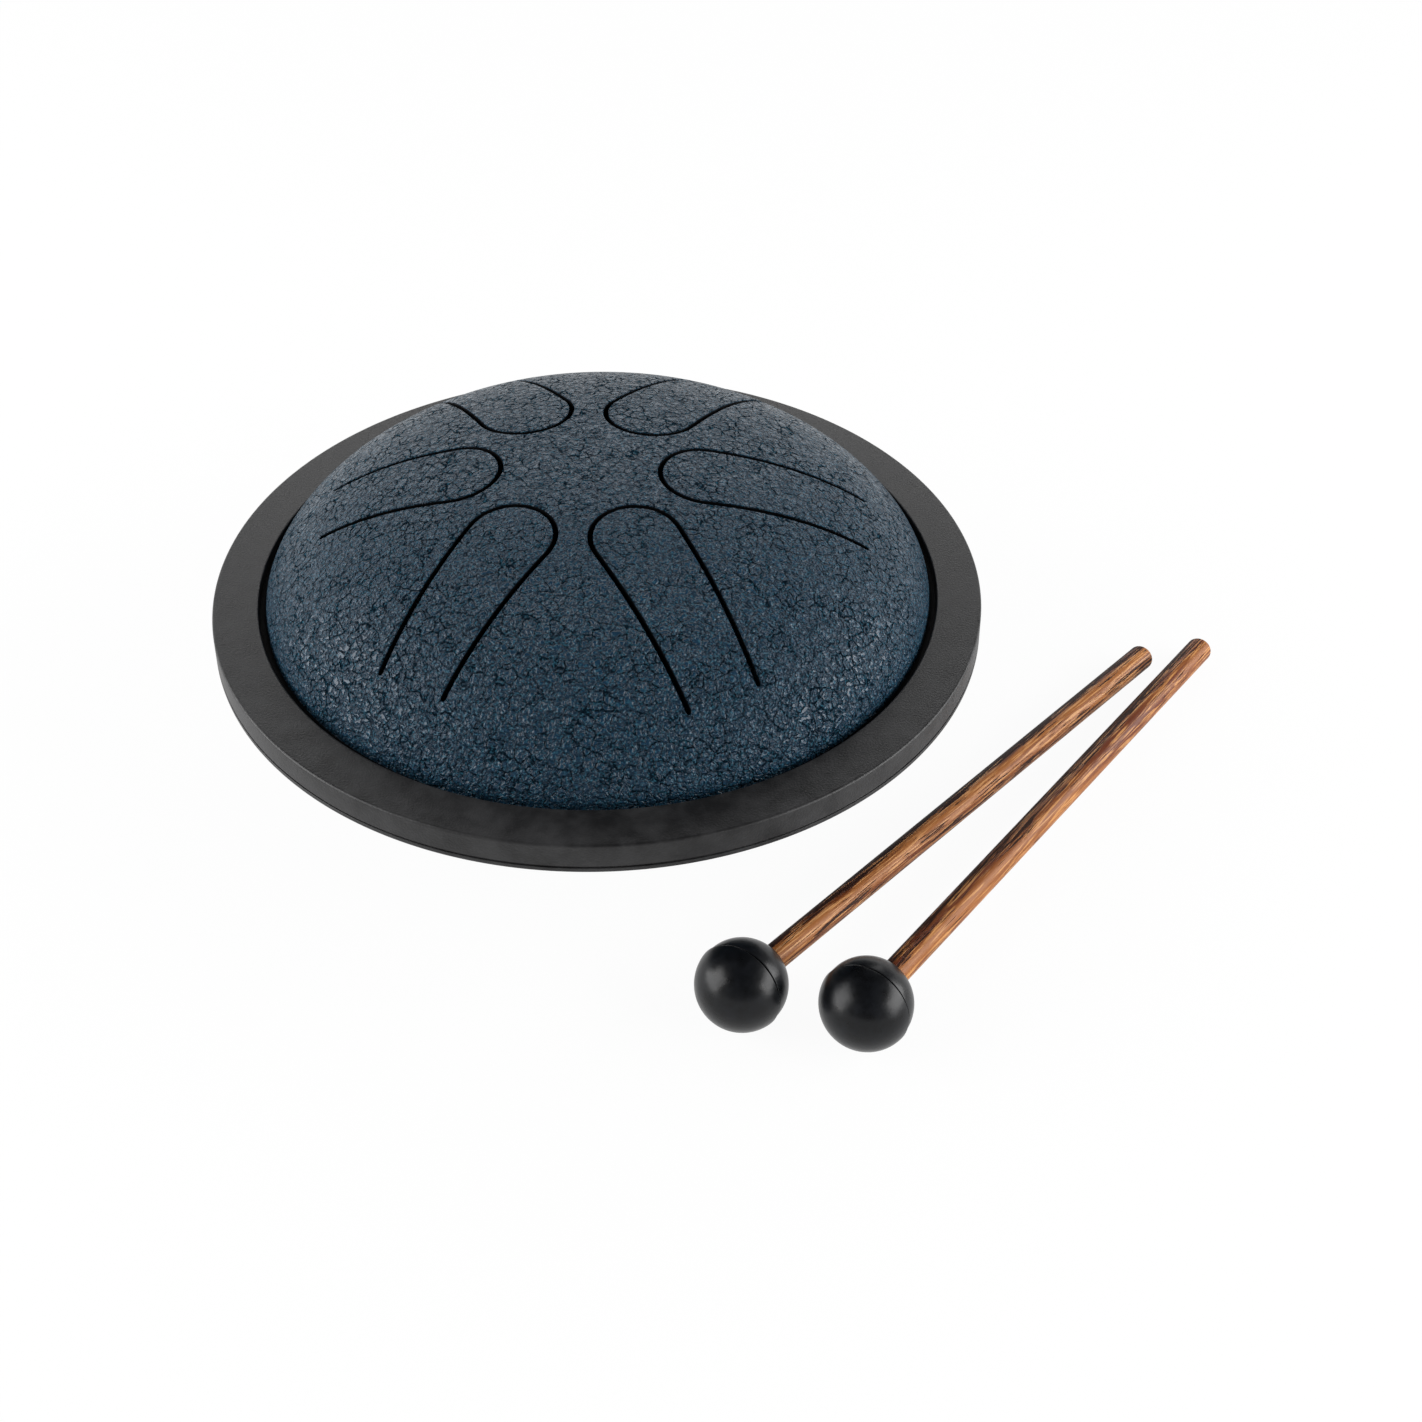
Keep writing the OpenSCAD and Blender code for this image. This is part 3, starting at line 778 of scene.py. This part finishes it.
def ball_section():
    """Half section of the ball, as (radius, place along the stick). Steps under 0.2 mm soften its corners."""
    socket_r, seam_x, groove_end = HEAD_R + GLUE, -SEAM_BACK, SEAM_GROOVE_W - SEAM_BACK
    seam = math.degrees(math.asin(seam_x / BALL_R))
    back_seam = math.degrees(math.asin((groove_end + 0.1) / REST_R))
    front = arc(0, 0, BALL_R, -90, seam - LIP_DEGREES, BALL_STEPS)
    front[0] = (0, -BALL_R)
    back = arc(0, 0, REST_R, back_seam, MOUTH_ANGLE, BALL_STEPS)
    lip_r, back_r, mouth_x = front[-1][0], back[0][0], back[-1][1]
    floor_r = back_r - SEAM_GROOVE_D
    lip = [(lip_r + 0.01, seam_x - 0.06), (lip_r - FINE_EDGE, seam_x - 0.01), (lip_r - 0.12, seam_x)]
    groove = [
        (floor_r + FINE_EDGE, seam_x), (floor_r, seam_x + 0.05),
        (floor_r, groove_end - 0.05), (floor_r + FINE_EDGE, groove_end),
        (back_r - 0.1, groove_end), (back_r - FINE_EDGE, groove_end + FINE_EDGE),
    ]
    socket = [
        (socket_r + 0.07, mouth_x - FINE_EDGE), (socket_r, mouth_x - 0.2),
        (socket_r, -SOCKET_DEEP), (0, -SOCKET_DEEP),
    ]
    return front + lip + groove + back + socket


def ball_form():
    """Vertices and faces of a ball: halves turned round the seam's axis, and a socket round the stick's."""
    verts, faces = along_x(turn(ball_section(), BALL_SEGMENTS, closed=False))
    formed = []
    for vert in verts:
        from_stick = 90 - math.degrees(math.asin(vert.x / vert.length))
        share = (EASE_FROM - from_stick) / (EASE_FROM - (90 - MOUTH_ANGLE))
        share = 1.0 if vert.length < REST_R - 2 * SEAM_GROOVE_D else min(max(share, 0.0), 1.0)
        eased = (SEAM_LEAN @ vert).lerp(vert, share)
        formed.append(eased * (vert.length / eased.length))
    return formed, faces


def stick_section():
    """Half section of the stick, as (radius, place along the stick)."""
    foot_x = GLUE - SOCKET_DEEP
    shares = [k / SHAFT_STEPS for k in range(SHAFT_STEPS)]
    return (
        [(0, foot_x), (HEAD_R - FOOT_CHAMFER, foot_x), (HEAD_R, foot_x + FOOT_CHAMFER)]
        + [(HEAD_R + (TAIL_R - HEAD_R) * share, BALL_R + (core_x - BALL_R) * share) for share in shares]
        + [(TAIL_R, core_x - 0.1)]
        + arc(core_r, core_x, TAIL_ROUND, 0, 90, 10)
        + [(core_r - 0.1, REACH), (0, REACH)]
    )


# The x and y of each ball's centre in millimetres, the heading of its stick in degrees, and its wood.
MALLETS = {
    "mallet_left": (26.7, -97.6, 43.6, LEFT_WOOD),
    "mallet_right": (52.2, -104.0, 48.2, RIGHT_WOOD),
}
for name, (x, y, heading, grain) in MALLETS.items():
    place = lay_down(x, y, heading)
    wood = turned_hardwood(name + "_hardwood", place, **grain)
    stick = along_x(turn(stick_section(), STICK_SEGMENTS, closed=False))
    make_piece(name + "_ball_moulding", *ball_form(), ball_rubber, name + "_ball", name, "ball_rubber", place)
    make_piece(name + "_stick_turning", *stick, wood, name + "_stick", name, "stick_wood", place)

# %% [markdown]
# The set is a plain pale floor under soft light. The floor is matt white paper that takes the object's
# shadow. To the camera and in reflections most of it glows at a strength of 1, which is white, except close
# round the drum's axis, where the real paper lies in the drum's own shade.
# The world is bright at the horizon, like a sweep of lit paper, darker above it and dim overhead. So the
# dome's front stays deep, while its flanks and its far side take a grey sheen. Two large soft lamps stand
# left and right, and a third one behind lights the crown.

# %% Floor, with its lengths in metres
FLOOR_HALF, FLOOR_Z, SHADE_R, CLEAR_R = 6.0, -0.0001, 0.020, 0.038
PAPER_GLOW, PAPER_FIBRE_MM = 0.95, 1.0
floor_mesh = bpy.data.meshes.new("studio_floor")
floor_corners = [(x * FLOOR_HALF, y * FLOOR_HALF, FLOOR_Z) for x, y in ((-1, -1), (1, -1), (1, 1), (-1, 1))]
floor_mesh.from_pydata(floor_corners, [], [(0, 1, 2, 3)])
floor = bpy.data.objects.new("studio_floor", floor_mesh)
bpy.context.scene.collection.objects.link(floor)

paper, tree = start_material("white_paper_sweep")
rays = [add(tree, "LightPath", out=f"Is {kind} Ray") for kind in ("Camera", "Glossy", "Transmission")]
seen = add(tree, "Math", {0: rays[0], 1: rays[1]}, operation="MAXIMUM")
seen = add(tree, "Math", {0: seen, 1: rays[2]}, operation="MAXIMUM")
glow_share = add(tree, "Math", {0: seen, 1: PAPER_GLOW}, operation="MULTIPLY")
place = add(tree, "TexCoord", out="Object")
from_axis = add(tree, "VectorMath", {0: place}, out="Value", operation="LENGTH")
clear = add(tree, "MapRange", {"Value": from_axis, "From Min": SHADE_R, "From Max": CLEAR_R})
glow_share = add(tree, "Math", {0: glow_share, 1: clear}, operation="MULTIPLY")
fibre = add(tree, "TexNoise", {"Scale": per_mm(PAPER_FIBRE_MM), "Detail": 2.0})
tone = add(tree, "MixRGB", {"Fac": fibre, "Color1": linear("#ececec"), "Color2": linear("#f2f2f2")})
matt = add(tree, "BsdfDiffuse", {"Color": tone})
glow = add(tree, "Emission", {"Color": (1, 1, 1, 1), "Strength": 1.0})
add(tree, "OutputMaterial", {"Surface": add(tree, "MixShader", {0: glow_share, 1: matt, 2: glow})})
floor_mesh.materials.append(paper)
print(f"floor {2 * FLOOR_HALF:.0f} m wide of {paper.name}")

# %% World and lamps
# Each light is a strength. One gives way to the next between two heights of a direction: 0 is the horizon,
# and 1 is overhead.
PAPER_LIGHT, BACK_WALL_LIGHT, ROOM_LIGHT, CEILING_LIGHT = 1.4, 0.28, 0.16, 0.08
PAPER_ENDS, CEILING_BEGINS = (0.08, 0.25), (0.58, 0.74)
world = bpy.data.worlds.new("soft_studio")
bpy.context.scene.world = world
world.use_nodes = True
world.node_tree.nodes.clear()
tree = world.node_tree
direction = add(tree, "TexCoord", out="Generated")
height = add(tree, "SeparateXYZ", {"Vector": direction}, out="Z")
depth = height.node.outputs["Y"]
wall = add(tree, "MapRange", {
    "Value": depth, "From Min": -0.3, "From Max": 0.3, "To Min": ROOM_LIGHT, "To Max": BACK_WALL_LIGHT,
}, interpolation_type="SMOOTHSTEP")
low = add(tree, "MapRange", {
    "Value": height, "From Min": PAPER_ENDS[0], "From Max": PAPER_ENDS[1],
    "To Min": PAPER_LIGHT, "To Max": wall,
}, interpolation_type="SMOOTHSTEP")
strength = add(tree, "MapRange", {
    "Value": height, "From Min": CEILING_BEGINS[0], "From Max": CEILING_BEGINS[1],
    "To Min": low, "To Max": CEILING_LIGHT,
}, interpolation_type="SMOOTHSTEP")
sky = add(tree, "Background", {"Color": (1, 1, 1, 1), "Strength": strength})
add(tree, "OutputWorld", {"Surface": sky})

# Each lamp's place, width and height in metres, and its power in watts.
LAMPS = {
    "left_softbox": ((-0.80, -0.06, 0.36), 0.8, 0.7, 10.5),
    "right_softbox": ((0.84, -0.20, 0.33), 1.0, 0.5, 12.0),
    "back_softbox": ((0.0, 1.15, 0.70), 1.7, 0.45, 6.5),
}
LIT_POINT = Vector((0.03, -0.02, 0.03))
for name, (where, width, height, watts) in LAMPS.items():
    lamp_data = bpy.data.lights.new(name, "AREA")
    lamp_data.shape, lamp_data.size, lamp_data.size_y, lamp_data.energy = "RECTANGLE", width, height, watts
    lamp = bpy.data.objects.new(name, lamp_data)
    lamp.location = where
    lamp.rotation_euler = (Vector(where) - LIT_POINT).to_track_quat("Z", "Y").to_euler()
    bpy.context.scene.collection.objects.link(lamp)
    print(f"{name}: {width} by {height} m, {watts} W")
